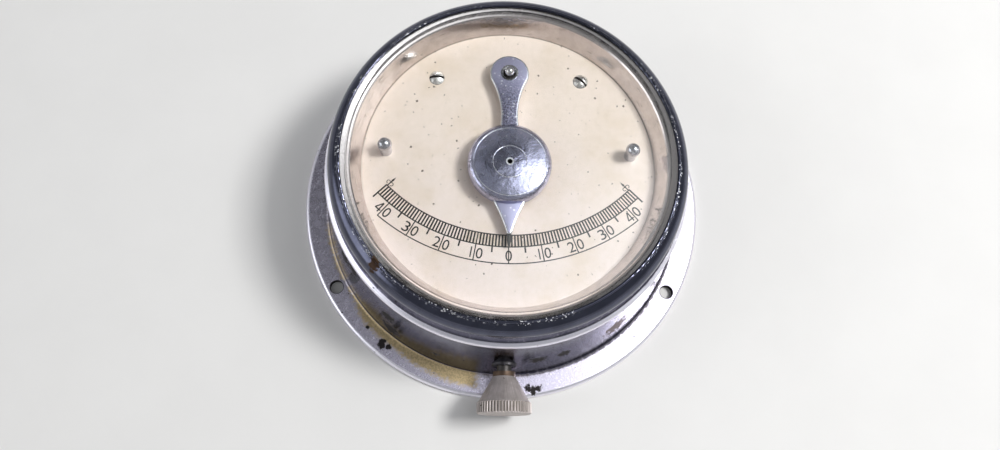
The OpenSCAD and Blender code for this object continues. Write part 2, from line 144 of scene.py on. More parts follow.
class ClinometerFinish(bpy.types.PropertyGroup):
    """Colours of the case, the dial and the lock screw."""
    plate: colour("Case plate", "Colour of the case's plating", (0.50, 0.49, 0.54))
    # painted reflection: the bezel's plating is darkened to stand for the dark room it mirrors
    bezel: colour("Bezel plate", "Colour of the bezel's plating", (0.095, 0.10, 0.14))
    mirror: colour("Reflector", "Colour of the bright ring inside the glass", (0.66, 0.61, 0.60))
    cream: colour("Dial at the top", "Colour of the enamel near the pivot", (0.88, 0.735, 0.655))
    pale: colour("Dial at the bottom", "Colour of the enamel below the scale", (0.86, 0.73, 0.695))
    stain: colour("Stain", "Colour of the yellow stain on the flange", (0.62, 0.49, 0.28))
    bare: colour("Worn brass", "Colour where the plating has gone", (0.085, 0.052, 0.034))
    nickel: colour("Knob nickel", "Colour of the thumbscrew", (0.64, 0.58, 0.565))
    copper: colour("Collar copper", "Colour of the thumbscrew's collar", (0.125, 0.088, 0.066))
    brass: colour("Brass", "Colour of the turned brass inside the case", (0.62, 0.43, 0.17))
    steel: colour("Steel", "Colour of the turned steel inside the case", (0.42, 0.42, 0.43))


class ClinometerStage(bpy.types.PropertyGroup):
    """Camera, lamp, room and floor."""
    target: bpy.props.FloatVectorProperty(
        name="Target", description="Point on the floor that the camera looks at",
        default=(-0.00104129, -0.00880331, 0), size=3, unit="LENGTH", precision=5)
    distance: length("Distance", "Distance from the camera to its target", 278.86362)
    tilt: angle("Tilt", "Angle between the view and the vertical", 18.34267)
    azimuth: angle("Azimuth", "Turn of the view about the vertical", -7.92515)
    roll: angle("Roll", "Turn of the picture about the view", 8.63784)
    focal: bpy.props.FloatProperty(
        name="Focal length", description="Focal length for a 36 mm wide sensor", default=28.08, min=1)
    key_power: bpy.props.FloatProperty(
        name="Key lamp", description="Power of the softbox on the right", default=8.1, min=0,
        unit="POWER")
    side_glow: bpy.props.FloatProperty(
        name="Side glow", description="Brightness the room gains low on the left", default=2.2, min=0,
        max=4)
    room: bpy.props.FloatProperty(
        name="Room", description="Brightness of the room", default=0.32, min=0, max=1)
    glow: bpy.props.FloatProperty(
        name="Glow", description="Brightness the room gains overhead", default=1.4, min=0, max=2)
    floor: colour("Floor", "Colour of the floor", (0.74, 0.73, 0.71))


SETTINGS = {
    "clinometer_print": ClinometerPrint,
    "clinometer_pendulum": ClinometerPendulum,
    "clinometer_finish": ClinometerFinish,
    "clinometer_stage": ClinometerStage,
}


# Nodes

def scaled(colour, *factors):
    """A colour times one factor, or one for each channel, and no brighter than 1."""
    factors = factors if len(factors) == 3 else factors * 3
    return [min(1, factor * channel) for factor, channel in zip(factors, colour)]


def rgba(value):
    """A colour with its fourth number, or the output it was given."""
    return value if isinstance(value, bpy.types.NodeSocket) else (*value, 1)


class Graph:
    """A node tree with short ways to add to it; a material's graph also keeps its shader's inputs."""

    def __init__(self, tree, material=None):
        self.tree = tree
        self.material = material
        self.shader = tree.nodes["Principled BSDF"].inputs if material else None
        self.point = None

    def feed(self, target, value):
        """Links an output to an input, or sets the input's own value."""
        if isinstance(value, bpy.types.NodeSocket):
            self.tree.links.new(value, target)
        else:
            target.default_value = value

    def put(self, kind, feeds=None, **settings):
        """Adds a shader node with its settings and what feeds its inputs."""
        node = self.tree.nodes.new("ShaderNode" + kind)
        for key, value in settings.items():
            setattr(node, key, value)
        for key, value in (feeds or {}).items():
            self.feed(node.inputs[key], value)
        return node

    def calc(self, operation, *values):
        """A Math node's result."""
        return self.put("Math", dict(enumerate(values)), operation=operation).outputs[0]

    def fold(self, operation, values):
        """Several values taken two at a time through Math nodes."""
        total = values[0]
        for value in values[1:]:
            total = self.calc(operation, total, value)
        return total

    def plus(self, *values):
        """The sum of several numbers."""
        return self.fold("ADD", values)

    def minus(self, first, second):
        """The first number less the second."""
        return self.calc("SUBTRACT", first, second)

    def times(self, *values):
        """The product of several numbers."""
        return self.fold("MULTIPLY", values)

    def vector(self, operation, first, second=None):
        """A Vector Math node's result: a number for a length or a dot product, else a vector."""
        feeds = {0: first} if second is None else {0: first, 1: second}
        node = self.put("VectorMath", feeds, operation=operation)
        return node.outputs["Value" if operation in ("LENGTH", "DOT_PRODUCT") else "Vector"]

    def split(self, point):
        """The three coordinates of a point."""
        return self.put("SeparateXYZ", {0: point}).outputs

    def join(self, *parts):
        """A point from its coordinates."""
        return self.put("CombineXYZ", dict(enumerate(parts))).outputs[0]

    def step(self, value, low, high, start=0.0, end=1.0):
        """Runs smoothly from start to end while value goes from low to high."""
        return self.put("MapRange", {
            "Value": value, "From Min": low, "From Max": high, "To Min": start, "To Max": end,
        }, interpolation_type="SMOOTHSTEP").outputs[0]

    def blend(self, mask, first, second):
        """Colour that goes from first to second as the mask rises."""
        feeds = {0: mask, 6: rgba(first), 7: rgba(second)}
        return self.put("Mix", feeds, data_type="RGBA").outputs[2]

    def between(self, mask, first, second):
        """Number that goes from first to second as the mask rises."""
        return self.put("Mix", {0: mask, 2: first, 3: second}, data_type="FLOAT").outputs[0]

    def noise(self, point, scale, detail=2.0, rough=0.5):
        """A noise texture's value."""
        return self.put("TexNoise", {
            "Vector": point, "Scale": scale, "Detail": detail, "Roughness": rough}).outputs[0]

    def most(self, *masks):
        """The strongest of several masks."""
        return self.fold("MAXIMUM", masks)

    def use(self, name, **feeds):
        """Places a node group, built on first use, at the graph's own point; returns its outputs."""
        if name not in built:
            built[name] = GROUPS[name]()
        node = self.put("Group", node_tree=built[name])
        if "Point" in node.inputs:
            feeds.setdefault("point", self.point)
        for key, value in feeds.items():
            self.feed(node.inputs[key.capitalize()], value)
        return node.outputs

    def start(self, centre=(0, 0, 0)):
        """Measures the place on the object from a centre and keeps its point for the masks."""
        place = self.use("place", centre=centre)
        self.point = place["Point"]
        return place

    def mask(self, name, **feeds):
        """Places a node group and returns its only output."""
        return self.use(name, **feeds)[0]

    def layers(self, tone, *layers):
        """A colour with others laid over it in turn, each through its mask."""
        for mask, over in layers:
            tone = self.blend(mask, tone, over)
        return tone

    def colour(self, tone, *layers):
        """Feeds the shader's colour, with others laid over it in turn."""
        self.feed(self.shader["Base Color"], self.layers(tone, *layers))

    def roughness(self, value):
        """Feeds the shader's roughness."""
        self.feed(self.shader["Roughness"], value)

    def bump(self, height, depth_mm):
        """Feeds a height into the shader's normal."""
        node = self.put("Bump", {"Height": height, "Distance": depth_mm * MM, "Strength": 1.0})
        self.feed(self.shader["Normal"], node.outputs[0])


def new_material(name, **fixed):
    """The graph of a new material; fixed values sit on the shader's own sockets."""
    material = bpy.data.materials.new(name)
    material.use_nodes = True
    graph = Graph(material.node_tree, material)
    for key, value in fixed.items():
        graph.shader[SOCKETS[key]].default_value = value
    return graph


def new_group(name, inputs, outputs):
    """An empty node group's graph with the sockets on its two sides."""
    tree = bpy.data.node_groups.new(name, "ShaderNodeTree")
    for socket, default in inputs.items():
        kind = "NodeSocketVector" if isinstance(default, tuple) else "NodeSocketFloat"
        tree.interface.new_socket(socket, in_out="INPUT", socket_type=kind).default_value = default
    for socket, kind in outputs.items():
        tree.interface.new_socket(socket, in_out="OUTPUT", socket_type="NodeSocket" + kind)
    given, out = tree.nodes.new("NodeGroupInput"), tree.nodes.new("NodeGroupOutput")
    return Graph(tree), given.outputs, out.inputs


def group_place():
    """Place on the object in millimetres, measured from a centre, also as radius and angle about Z."""
    g, given, out = new_group(
        "Place in millimetres", {"Centre": (0, 0, 0)},
        {"Point": "Vector", "Radius": "Float", "Angle": "Float", "Height": "Float"})
    here = g.put("TexCoord").outputs["Object"]
    grown = g.put("VectorMath", {0: here, "Scale": 1 / MM}, operation="SCALE").outputs[0]
    point = g.vector("SUBTRACT", grown, given["Centre"])
    parts = g.split(point)
    flat = g.join(parts[0], parts[1])
    g.feed(out["Point"], point)
    g.feed(out["Radius"], g.vector("LENGTH", flat))
    g.feed(out["Angle"], g.calc("ARCTAN2", parts[1], parts[0]))
    g.feed(out["Height"], parts[2])
    return g.tree


def group_patches():
    """Cloudy patches: tarnish, stains and uneven polish."""
    g, given, out = new_group(
        "Patches", {"Point": (0, 0, 0), "Size": 5.0, "Coverage": 0.5, "Softness": 0.1, "Seed": 0.0},
        {"Mask": "Float"})
    shifted = g.vector("ADD", given["Point"], given["Seed"])
    cloud = g.noise(shifted, g.calc("DIVIDE", 1, given["Size"]), 5, 0.6)
    edge = g.step(given["Coverage"], 0, 1, 0.72, 0.28)
    g.feed(out["Mask"], g.step(
        cloud, g.minus(edge, given["Softness"]), g.plus(edge, given["Softness"])))
    return g.tree


def group_pits():
    """Small scattered pits or specks of different sizes."""
    g, given, out = new_group(
        "Pits", {"Point": (0, 0, 0), "Spacing": 3.0, "Share": 0.4, "Width": 0.3, "Seed": 0.0},
        {"Mask": "Float"})
    shifted = g.vector("ADD", given["Point"], given["Seed"])
    wobble = g.put("TexNoise", {"Vector": shifted, "Scale": 1.7, "Detail": 3}).outputs[1]
    bent = g.vector("ADD", shifted, wobble)
    cells = g.put("TexVoronoi", {
        "Vector": bent, "Scale": g.calc("DIVIDE", 1, given["Spacing"])})
    chance = g.put("SeparateColor", {0: cells.outputs["Color"]}).outputs
    size = g.times(given["Width"], g.calc("POWER", chance[1], 2))
    here = g.calc("DIVIDE", size, given["Spacing"])
    inside = g.step(cells.outputs["Distance"], g.times(here, 0.6), here, 1, 0)
    g.feed(out["Mask"], g.times(inside, g.calc("LESS_THAN", chance[0], given["Share"])))
    return g.tree


def group_hairlines():
    """Fine scratches that run mostly one way."""
    g, given, out = new_group(
        "Hairlines", {"Point": (0, 0, 0), "Spacing": 2.0, "Width": 0.012, "Stretch": (1, 0.08, 1),
                      "Turn": 0.0, "Seed": 0.0}, {"Mask": "Float"})
    turned = g.put("VectorRotate", {
        "Vector": g.vector("ADD", given["Point"], given["Seed"]), "Angle": given["Turn"]},
        rotation_type="Z_AXIS").outputs[0]
    drawn = g.vector("MULTIPLY", turned, given["Stretch"])
    cloud = g.noise(drawn, g.calc("DIVIDE", 1, given["Spacing"]), 1.5, 0.4)
    away = g.calc("ABSOLUTE", g.minus(cloud, 0.5))
    broken = g.step(g.noise(turned, 0.35, 1), 0.45, 0.6)
    g.feed(out["Mask"], g.times(g.step(away, 0, given["Width"], 1, 0), broken))
    return g.tree


def group_spot():
    """One ragged patch about a place."""
    g, given, out = new_group(
        "Spot", {"Point": (0, 0, 0), "Centre": (0, 0, 0), "Radius": 3.0, "Ragged": 0.6},
        {"Mask": "Float"})
    away = g.vector("LENGTH", g.vector("SUBTRACT", given["Point"], given["Centre"]))
    ragged = g.times(g.minus(g.noise(given["Point"], 0.8, 5, 0.7), 0.5), g.times(given["Ragged"], 4))
    share = g.plus(g.calc("DIVIDE", away, given["Radius"]), ragged)
    g.feed(out["Mask"], g.step(share, 0.8, 1.15, 1, 0))
    return g.tree


def group_strip():
    """A strip of a number's run with soft ends."""
    g, given, out = new_group(
        "Strip", {"Value": 0.0, "Low": 0.0, "High": 1.0, "Soft": 0.1}, {"Mask": "Float"})
    rise = g.step(given["Value"], g.minus(given["Low"], given["Soft"]), given["Low"])
    fall = g.step(given["Value"], given["High"], g.plus(given["High"], given["Soft"]), 1, 0)
    g.feed(out["Mask"], g.times(rise, fall))
    return g.tree


def group_streaks():
    """Streaks of a tool or a brush along one coordinate, as a height."""
    g, given, out = new_group(
        "Streaks", {"Across": 0.0, "Along": 0.0, "Spacing": 0.3, "Length": 8.0, "Seed": 0.0},
        {"Height": "Float"})
    place = g.join(
        g.calc("DIVIDE", given["Across"], given["Spacing"]),
        g.calc("DIVIDE", given["Along"], given["Length"]), given["Seed"])
    g.feed(out["Height"], g.noise(place, 1, 4, 0.7))
    return g.tree


GROUPS = {
    "place": group_place, "patches": group_patches, "pits": group_pits, "hairlines": group_hairlines,
    "spot": group_spot, "strip": group_strip, "streaks": group_streaks,
}
SOCKETS = {
    "metallic": "Metallic", "roughness": "Roughness", "ior": "IOR",
    "transmission": "Transmission Weight",
}
built = {}


def slot_dirt(g, centre, turn):
    """Painted shade in a screw's slot and round the edge of its head."""
    place = g.use("place", centre=centre)
    across = g.vector("DOT_PRODUCT", place["Point"], (-math.sin(turn), math.cos(turn), 0))
    slot = g.step(g.calc("ABSOLUTE", across), SLOT_HALF - 0.02, SLOT_HALF + 0.06, 1, 0)
    near = g.step(place["Radius"], 2.6, 2.8, 1, 0)
    return g.times(near, g.most(slot, g.step(place["Radius"], 2.2, 2.45, 0, 0.8)))


def plated(
        name, base, dull, rough, cloud_mm, pit_mm, pit_share, centre=(0, 0, 0), recess_shade=None, slots=()):
    """Worn plating with hairlines and pits; where asked, painted shade in a recess between two radii or
    in screw slots.
    """
    g = new_material(name, metallic=1.0)
    place = g.start(centre)
    clouds = g.mask("patches", size=cloud_mm, coverage=0.5, softness=0.22)
    lines = g.most(
        g.mask("hairlines", spacing=1.6, turn=0.5),
        g.mask("hairlines", spacing=2.3, turn=2.2, seed=17.0))
    pits = g.mask("pits", spacing=pit_mm, share=pit_share, width=0.45)
    pits_and_shade = pits
    # painted shade: a dark ring between two radii, below the top, where a recess lies in shade
    if recess_shade:
        low, high, top = recess_shade
        ring = g.mask("strip", value=place["Radius"], low=low, high=high, soft=0.12)
        pits_and_shade = g.most(pits, g.times(ring, g.step(place["Height"], top - 0.1, top, 1, 0)))
    # painted shade in the dial screws' slots and round their heads
    pits_and_shade = g.most(pits_and_shade, *[slot_dirt(g, at, turn) for at, turn in slots])
    # dark pits, with painted shade in recesses and screw slots
    g.colour(
        base, (clouds, dull), (g.times(lines, 0.35), scaled(base, 1.45)), (pits_and_shade, (0.035, 0.03, 0.03)))
    haze = g.between(clouds, rough, min(1, rough * 1.7 + 0.03))
    haze = g.plus(haze, g.times(lines, 0.12))
    g.roughness(g.between(pits_and_shade, haze, 0.75))
    fine = g.noise(place["Point"], 2.2, 4, 0.7)
    height = g.minus(g.times(fine, 0.25), g.times(pits, 1.5))
    g.bump(g.minus(height, g.times(lines, 0.25)), 0.05)
    return g.material


def case_metal(look):
    """Case: wall painted dark as shade, darkest at its foot; bead and rim painted bright as highlights;
    a dull flange painted lighter, with a yellow stain, black and worn spots, and painted shade at the
    wall's foot and in the holes.
    """
    g = new_material("case_plating", metallic=1.0)
    place = g.start()
    point, radius, height, around = place["Point"], place["Radius"], place["Height"], place["Angle"]
    flange = g.mask("strip", value=height, low=-1.0, high=2.2, soft=0.25)
    bead = g.mask("strip", value=height, low=31.3, high=34.2, soft=0.2)
    inside = g.step(radius, 55.0, 55.4, 1, 0)
    rim = g.mask("strip", value=radius, low=68.9, high=80.0, soft=0.3)
    clouds = g.mask("patches", size=7.0, coverage=0.5, softness=0.2)
    blooms = g.mask("patches", size=2.2, coverage=0.42, softness=0.16, seed=9.0)
    speckle = g.noise(point, 1.8, 4, 0.7)
    lines = g.most(
        g.mask("hairlines", spacing=1.5, turn=0.6),
        g.mask("hairlines", spacing=2.1, turn=2.4, seed=31.0))

    def spots(centres, ragged):
        """Ragged patches at several places."""
        return g.most(*[g.mask("spot", centre=c, radius=r, ragged=ragged) for c, r in centres])

    ragged = g.times(g.minus(g.noise(point, 0.9, 5, 0.7), 0.5), 5.0)
    reach = g.plus(g.step(around, -2.56, -2.35, 63.3, 65.6), g.step(around, -2.2, -1.8, 0, 1.8))
    edge = g.minus(g.plus(radius, ragged), reach)
    along = g.plus(around, g.times(ragged, 0.02))
    stain = g.times(
        g.step(edge, -1.6, 0.6, 1, 0), g.mask("strip", value=along, low=-2.95, high=-1.73, soft=0.05))
    scraped = spots([((-54.6, -32.2, 2), 1.7)], 0.4)
    stain = g.times(stain, flange, g.minus(1, scraped))
    # painted shade with grime: darker on the flange close to the wall's foot, fading outwards
    grime = g.times(g.step(g.plus(radius, ragged), 61.6, 63.6, 0.85, 0), flange)
    pits = g.most(
        g.mask("pits", spacing=3.4, share=0.4, width=0.5),
        g.mask("pits", spacing=1.1, share=0.14, width=0.28, seed=5.0))
    bare = spots([((36.6, -47.3, 14.2), 4.6), ((52.5, -28, 10), 1.8)], 0.9)
    black = spots([
        ((-37.2, -48.2, 8.1), 3.2), ((-37.7, -46, 16.6), 2.9), ((-52, -27.5, 20), 3.0),
        ((-49.1, -31.8, 21.8), 2.4), ((-40.7, -52.1, 2), 1.4), ((-38.4, -53.0, 2), 0.9),
        ((-45.7, -46.7, 2), 0.6),
        ((8.6, -66.6, 2), 1.3), ((10.3, -67.2, 2), 1.3), ((11.9, -66.5, 2), 1.2),
        ((19.2, -56.6, 14.6), 2.2), ((10.6, -58.8, 14.7), 2.6), ((-22, -55.6, 9), 1.2)], 1.0)
    hole_places = [
        g.use("place", centre=(HOLE_R * math.cos(turn), HOLE_R * math.sin(turn), 0))
        for turn in map(math.radians, HOLE_TURNS)]
    # painted shade: the holes' walls and a thin ring round each hole are coloured near black
    hole_shade = g.most(*[g.step(hole["Radius"], 2.3, 2.6, 1, 0) for hole in hole_places])
    pits_and_hole_shade = g.most(pits, black, hole_shade)
    plate = look.plate
    # painted light: the flange, facing up, is a lighter copy of the plating than the wall
    flat = g.blend(blooms, scaled(plate, 1.36, 1.32, 1.42), scaled(plate, 1.08, 1.04, 1.14))
    flat = g.blend(g.step(speckle, 0.52, 0.7), flat, scaled(plate, 1.6))
    # painted shade: the wall is a much darker copy of the same plating
    wall = g.blend(clouds, scaled(plate, 0.29, 0.29, 0.36), scaled(plate, 0.17, 0.17, 0.22))
    # painted shade, darkest at the wall's foot
    wall = g.blend(g.step(height, 3, 17), scaled(plate, 0.13, 0.13, 0.17), wall)
    ochre = g.blend(g.step(speckle, 0.35, 0.65), look.stain, scaled(look.stain, 0.62))
    # painted highlights: the bead and the flange's outer rim are coloured 1.8 times brighter than the
    # plating
    g.colour(
        wall, (flange, flat), (g.most(rim, bead), scaled(plate, 1.8)),
        (g.times(lines, 0.35), scaled(plate, 1.5)), (grime, (0.09, 0.075, 0.06)), (stain, ochre),
        (bare, look.bare), (inside, look.brass), (pits_and_hole_shade, (0.02, 0.016, 0.016)))
    haze = g.between(flange, g.between(clouds, 0.07, 0.16), g.between(blooms, 0.24, 0.36))
    haze = g.between(g.most(rim, bead), haze, 0.34)
    haze = g.between(g.most(stain, bare, grime), haze, 0.5)
    haze = g.between(inside, haze, 0.35)
    g.roughness(g.between(pits_and_hole_shade, haze, 0.8))
    g.feed(g.shader["Metallic"], g.between(pits_and_hole_shade, g.between(g.most(bare, stain), 1.0, 0.7), 0.3))
    marks = g.mask("streaks", across=radius, along=around, spacing=0.35, length=1.2)
    relief = g.plus(g.times(speckle, 0.5), g.times(marks, 0.25))
    relief = g.minus(relief, g.times(g.most(pits, black), 1.5))
    worn_edge = g.times(g.step(radius, 68.5, 70.1, 0, -7), flange)
    relief = g.plus(relief, worn_edge)
    g.bump(g.minus(relief, g.times(lines, 0.2)), 0.05)
    return g.material


def bezel_metal(look):
    """Bezel: bright-polished round, its colour darkened as a painted reflection of a dark room, with
    bright specks along its crest painted as glints, and one worn patch.
    """
    g = new_material("bezel_plating", metallic=1.0)
    place = g.start()
    point, radius = place["Point"], place["Radius"]
    clouds = g.mask("patches", size=6.0, coverage=0.5, softness=0.2)
    crest = g.mask("strip", value=radius, low=52.4, high=53.3, soft=0.4)
    # painted glints: near-white specks along the worn side of the crest
    specks = g.most(
        g.mask("pits", spacing=0.55, share=0.7, width=0.4),
        g.mask("pits", spacing=0.9, share=0.5, width=0.5, seed=12.0))
    worn_side = g.mask("patches", size=14.0, coverage=0.45, softness=0.15, seed=1.0)
    specks = g.times(specks, g.times(crest, worn_side))
    lines = g.mask("hairlines", spacing=1.8, turn=1.2)
    bare = g.most(
        g.mask("spot", centre=(-40.2, -36.9, 44), radius=1.7, ragged=1.0),
        g.mask("spot", centre=(-39.2, -34.6, 44), radius=1.3, ragged=1.0))
    # painted reflection: the bezel's colour is a dark copy of the plating
    g.colour(
        look.bezel, (clouds, scaled(look.bezel, 0.75)), (g.times(lines, 0.3), scaled(look.bezel, 1.5)),
        (specks, (0.80, 0.80, 0.82)), (bare, scaled(look.bare, 0.6)))
    haze = g.plus(g.between(clouds, 0.07, 0.15), g.times(specks, 0.25))
    g.roughness(g.between(bare, haze, 0.5))
    fine = g.times(g.noise(point, 1.3, 4, 0.65), 0.35)
    pebbled = g.times(g.noise(point, 1.6, 3, 0.7), g.times(crest, worn_side))
    fine = g.plus(fine, g.times(pebbled, 1.5))
    g.bump(g.plus(fine, g.times(specks, 0.8)), 0.05)
    return g.material


def reflector_metal(look):
    """Bright ring that mirrors the dial, with brownish scratches."""
    g = new_material("reflector_plating", metallic=1.0)
    place = g.start()
    around = g.times(place["Angle"], 47)
    along = g.join(around, place["Height"])
    rubs = g.mask("hairlines", point=along, spacing=1.0, width=0.02, stretch=(0.12, 1.4, 1), seed=4.0)
    rubs = g.times(rubs, g.step(place["Height"], 40.6, 41.2, 1, 0))
    clouds = g.mask("patches", size=4.0, coverage=0.42, softness=0.2)
    g.colour(
        look.mirror, (g.times(clouds, 0.5), scaled(look.mirror, 0.72)),
        (g.times(rubs, 0.65), (0.30, 0.25, 0.21)))
    g.roughness(g.plus(g.between(clouds, 0.10, 0.22), g.times(rubs, 0.2)))
    g.bump(g.noise(place["Point"], 0.9, 3, 0.6), 0.035)
    return g.material


def dial_enamel(look):
    """Cream enamel: yellower at the top, stains, brown specks, one blot, a tan smear on the band, and
    painted shade with grime at the reflector's foot towards the top.
    """
    g = new_material("dial_enamel")
    place = g.start()
    point = place["Point"]
    parts = g.split(point)
    sway = g.plus(parts[1], g.times(g.noise(point, 0.05, 3), 22))
    stains = g.mask("patches", size=16.0, coverage=0.36, softness=0.2, seed=2.0)
    mottle = g.mask("patches", size=1.6, coverage=0.4, softness=0.2, seed=6.0)
    band = g.use("place", centre=(0, PIVOT_Y / MM, 0))
    smear = g.times(
        g.mask("strip", value=band["Radius"], low=54.0, high=57.6, soft=0.2),
        g.mask("strip", value=band["Angle"], low=-1.80, high=-1.42, soft=0.06))
    broken = g.mask("patches", size=1.8, coverage=0.55, softness=0.12, seed=8.0)
    specks = g.most(
        g.mask("pits", spacing=2.7, share=0.8, width=0.5),
        g.mask("pits", spacing=1.3, share=0.3, width=0.34, seed=7.0))
    blot = g.mask("spot", centre=(-37.5, -30.5, 35.1), radius=1.0, ragged=0.4)
    # painted shade with grime: a dark line where the dial meets the reflector's foot, towards the top
    foot = g.times(
        g.step(place["Radius"], REFLECTOR_FOOT - 0.55, REFLECTOR_FOOT - 0.1, 0, 0.8),
        g.step(sway, -5, 25))
    g.colour(
        look.pale, (g.step(sway, -25, 35), look.cream), (g.times(stains, 0.55), (0.70, 0.55, 0.41)),
        (g.times(mottle, 0.17), (0.60, 0.50, 0.38)), (g.times(smear, broken, 0.5), (0.42, 0.33, 0.22)),
        (g.most(specks, blot, foot), (0.11, 0.075, 0.055)))
    g.roughness(g.between(mottle, 0.36, 0.5))
    g.bump(g.plus(g.noise(point, 1.1, 3), specks), 0.02)
    return g.material


def ink(tint, name):
    """Matt black ink or paint, slightly worn."""
    g = new_material(name)
    point = g.start()["Point"]
    worn = g.mask("patches", size=0.7, coverage=0.3, softness=0.2)
    g.colour(tint, (g.times(worn, 0.35), (0.07, 0.055, 0.045)))
    g.roughness(g.between(worn, 0.45, 0.65))
    g.bump(g.noise(point, 6, 2), 0.006)
    return g.material


def satin_metal(look):
    """Arm: bluish satin face; polished bevels and sides painted bright as a highlight, told apart by the
    normal; lighter towards the pointer and the eye; bright specks painted as glints.
    """
    g = new_material("arm_satin", metallic=1.0)
    place = g.start()
    point = place["Point"]
    # painted highlight: faces that don't face up, the bevels and sides, take a near-white colour
    normal = g.split(g.put("TexCoord").outputs["Normal"])[2]
    face = g.step(normal, 0.985, 0.999)
    grain = g.noise(point, 2.6, 4, 0.75)
    tone = g.blend(g.step(grain, 0.42, 0.60), scaled(look.satin, 0.36), scaled(look.satin, 1.2))
    along = g.split(point)[1]
    # lighter towards the pointer and towards the eye
    lighter_ends = g.plus(g.step(along, -15.5, -13.5, 1, 0), g.step(along, 20, 30, 0, 0.9))
    tone = g.blend(lighter_ends, tone, scaled(look.satin, 1.4))
    # painted glints: near-white specks on the satin face
    sparkle = g.mask("pits", spacing=0.9, share=0.6, width=0.5, seed=3.0)
    tone = g.blend(g.times(sparkle, 0.8), tone, (0.85, 0.85, 0.9))
    g.colour((0.80, 0.81, 0.86), (face, tone))
    g.roughness(g.between(face, 0.16, g.between(grain, 0.30, 0.42)))
    specks = g.mask("pits", spacing=1.6, share=0.3, width=0.3)
    height = g.plus(g.times(grain, face, 0.6), specks)
    g.bump(height, 0.03)
    return g.material


def bob_metal(look):
    """Bob: polished by hand, with cloudy haze and scribed circles painted bright as highlights, brighter
    in some places.
    """
    g = new_material("bob_polished", metallic=1.0)
    place = g.start((0, BOB_Y / MM, 0))
    point, radius = place["Point"], place["Radius"]
    haze = g.mask("patches", size=5.0, coverage=0.5, softness=0.22, seed=4.0)
    specks = g.mask("pits", spacing=0.9, share=0.35, width=0.3)
    # painted highlights: the scribed circles are coloured near white, brighter in some places
    lit = g.step(g.noise(point, 0.09, 1), 0.38, 0.56, 0.5, 1.0)
    rings = g.times(lit, g.most(
        g.mask("strip", value=radius, low=5.17, high=5.33, soft=0.06),
        g.mask("strip", value=radius, low=11.17, high=11.33, soft=0.06)))
    g.colour(
        look.polished, (haze, scaled(look.polished, 0.55)), (g.times(specks, 0.7), (0.8, 0.8, 0.85)),
        (rings, (0.9, 0.9, 0.92)))
    g.roughness(g.between(rings, g.between(haze, 0.14, 0.30), 0.22))
    swirl = g.mask("streaks", across=radius, along=place["Angle"], spacing=0.5, length=0.8)
    dome = g.times(radius, radius, -0.011)
    waves = g.times(g.noise(point, 0.2, 3, 0.6), 0.35)
    relief = g.plus(dome, waves, g.times(swirl, 0.02))
    g.bump(relief, 1.0)
    return g.material


def knob_metal(look):
    """Thumbscrew: nickel brushed along the cone, with painted shade in the knurl's grooves."""
    g = new_material("knob_nickel", metallic=0.7)
    parts = g.split(g.use("place", centre=LOCK_AXIS)["Point"])
    around = g.times(g.calc("ARCTAN2", parts[2], parts[0]), 7)
    streaks = g.mask("streaks", across=around, along=parts[1], spacing=0.22, length=9.0)
    g.start()
    grime = g.mask("patches", size=2.6, coverage=0.5, softness=0.25)
    pits = g.mask("pits", spacing=1.4, share=0.4, width=0.32)
    flat = g.join(parts[0], parts[2])
    # painted shade: the bottoms of the knurl's grooves are coloured dark
    recess_shade = g.times(
        g.step(g.vector("LENGTH", flat), 8.48, 8.68, 1, 0),
        g.mask("strip", value=parts[1], low=-75.3, high=-72.2, soft=0.1))
    g.colour(
        look.nickel, (g.step(streaks, 0.3, 0.7), scaled(look.nickel, 0.66)),
        (g.times(grime, 0.45), (0.25, 0.215, 0.18)), (g.times(recess_shade, 0.85), (0.10, 0.085, 0.07)),
        (pits, (0.09, 0.08, 0.07)))
    g.roughness(g.between(streaks, 0.45, 0.65))
    g.bump(g.minus(streaks, pits), 0.03)
    return g.material


def turned_metal(name, base, rough=0.3, axis="Z", centre=(0, 0, 0)):
    """Turned brass, copper or steel with tool rings and a little tarnish."""
    g = new_material(name, metallic=1.0)
    place = g.start(centre)
    parts = g.split(place["Point"])
    along = parts[1] if axis == "Y" else g.plus(place["Height"], place["Radius"])
    marks = g.mask("streaks", across=along, along=place["Angle"], spacing=0.25, length=1.5)
    tarnish = g.mask("patches", size=3.0, coverage=0.4, softness=0.2)
    g.colour(
        base, (g.step(marks, 0.3, 0.7), scaled(base, 0.78)), (g.times(tarnish, 0.6), scaled(base, 0.5)))
    g.roughness(g.between(tarnish, rough, rough + 0.15))
    g.bump(marks, 0.03)
    return g.material


def gasket_rubber():
    """Dull black rubber."""
    g = new_material("gasket_rubber", roughness=0.8)
    point = g.start()["Point"]
    dust = g.mask("patches", size=1.5, coverage=0.35, softness=0.2)
    g.colour((0.03, 0.03, 0.03), (dust, (0.07, 0.065, 0.06)))
    g.bump(g.noise(point, 3, 4), 0.03)
    return g.material


def clear_glass():
    """Clear glass with faint haze; lamps and soft light pass straight through it."""
    g = new_material("bevelled_glass", transmission=1.0, ior=1.5, roughness=0.0)
    place = g.start()
    smears = g.mask("patches", size=18.0, coverage=0.4, softness=0.25)
    g.colour((0.985, 0.995, 0.99), (smears, (0.97, 0.985, 0.98)))
    g.bump(g.noise(place["Point"], 0.05, 1), 0.01)
    path = g.put("LightPath").outputs
    clear = g.put("BsdfTransparent", {"Color": (0.95, 0.97, 0.96, 1)}).outputs[0]
    out = g.tree.nodes["Material Output"].inputs["Surface"]
    glass = out.links[0].from_socket
    mixed = g.put("MixShader", {
        0: g.calc("MAXIMUM", path["Is Shadow Ray"], path["Is Diffuse Ray"]), 1: glass, 2: clear})
    g.feed(out, mixed.outputs[0])
    return g.material


# Pieces

def clear_selection():
    """Leaves nothing selected, so that the next operator acts on its own piece."""
    if bpy.context.object and bpy.context.object.mode != "OBJECT":
        bpy.ops.object.mode_set(mode="OBJECT")
    bpy.ops.object.select_all(action="DESELECT")


